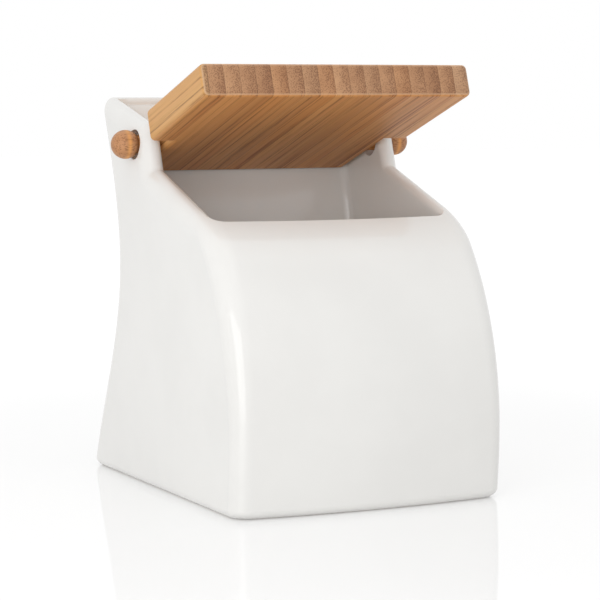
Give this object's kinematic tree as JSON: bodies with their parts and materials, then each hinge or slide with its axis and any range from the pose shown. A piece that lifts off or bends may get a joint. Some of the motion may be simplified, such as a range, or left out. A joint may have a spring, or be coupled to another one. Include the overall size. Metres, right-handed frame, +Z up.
{
  "type": "storage canister",
  "caption": "Glazed porcelain storage canister with a slanted mouth and a laminated bamboo lid that tilts on two ball-ended pegs through ears in the side walls.",
  "frame": {"origin": "centre of the footprint, on the surface the canister stands on", "axes": "+Z up, -Y out of the low front that the slanted mouth faces, +X to the right when seen from the front"},
  "size_m": [0.1938, 0.2203, 0.2442],
  "materials": {
    "porcelain": "clear glaze over white porcelain",
    "bamboo_board": "satin, oiled laminated bamboo",
    "bamboo_peg": "satin, turned bamboo"
  },
  "bodies": {
    "canister": {"porcelain_body": "porcelain"},
    "lid": {"lid_stave_01": "bamboo_board", "lid_stave_02": "bamboo_board", "lid_stave_03": "bamboo_board", "lid_stave_04": "bamboo_board", "lid_stave_05": "bamboo_board", "lid_stave_06": "bamboo_board", "lid_stave_07": "bamboo_board", "lid_stave_08": "bamboo_board", "lid_stave_09": "bamboo_board", "lid_stave_10": "bamboo_board", "lid_stave_11": "bamboo_board", "lid_stave_12": "bamboo_board", "lid_stave_13": "bamboo_board", "lid_stave_14": "bamboo_board", "lid_stave_15": "bamboo_board", "lid_stave_16": "bamboo_board", "lid_stave_17": "bamboo_board", "lid_stave_18": "bamboo_board", "peg_left": "bamboo_peg", "peg_right": "bamboo_peg"}
  },
  "joints": [
    {"name": "lid_hinge", "type": "hinge", "parent": "canister", "child": "lid", "pos_m": [0, 0.0386, 0.1983], "axis": [1, 0, 0], "range_deg": [0, 38.2]}
  ]
}
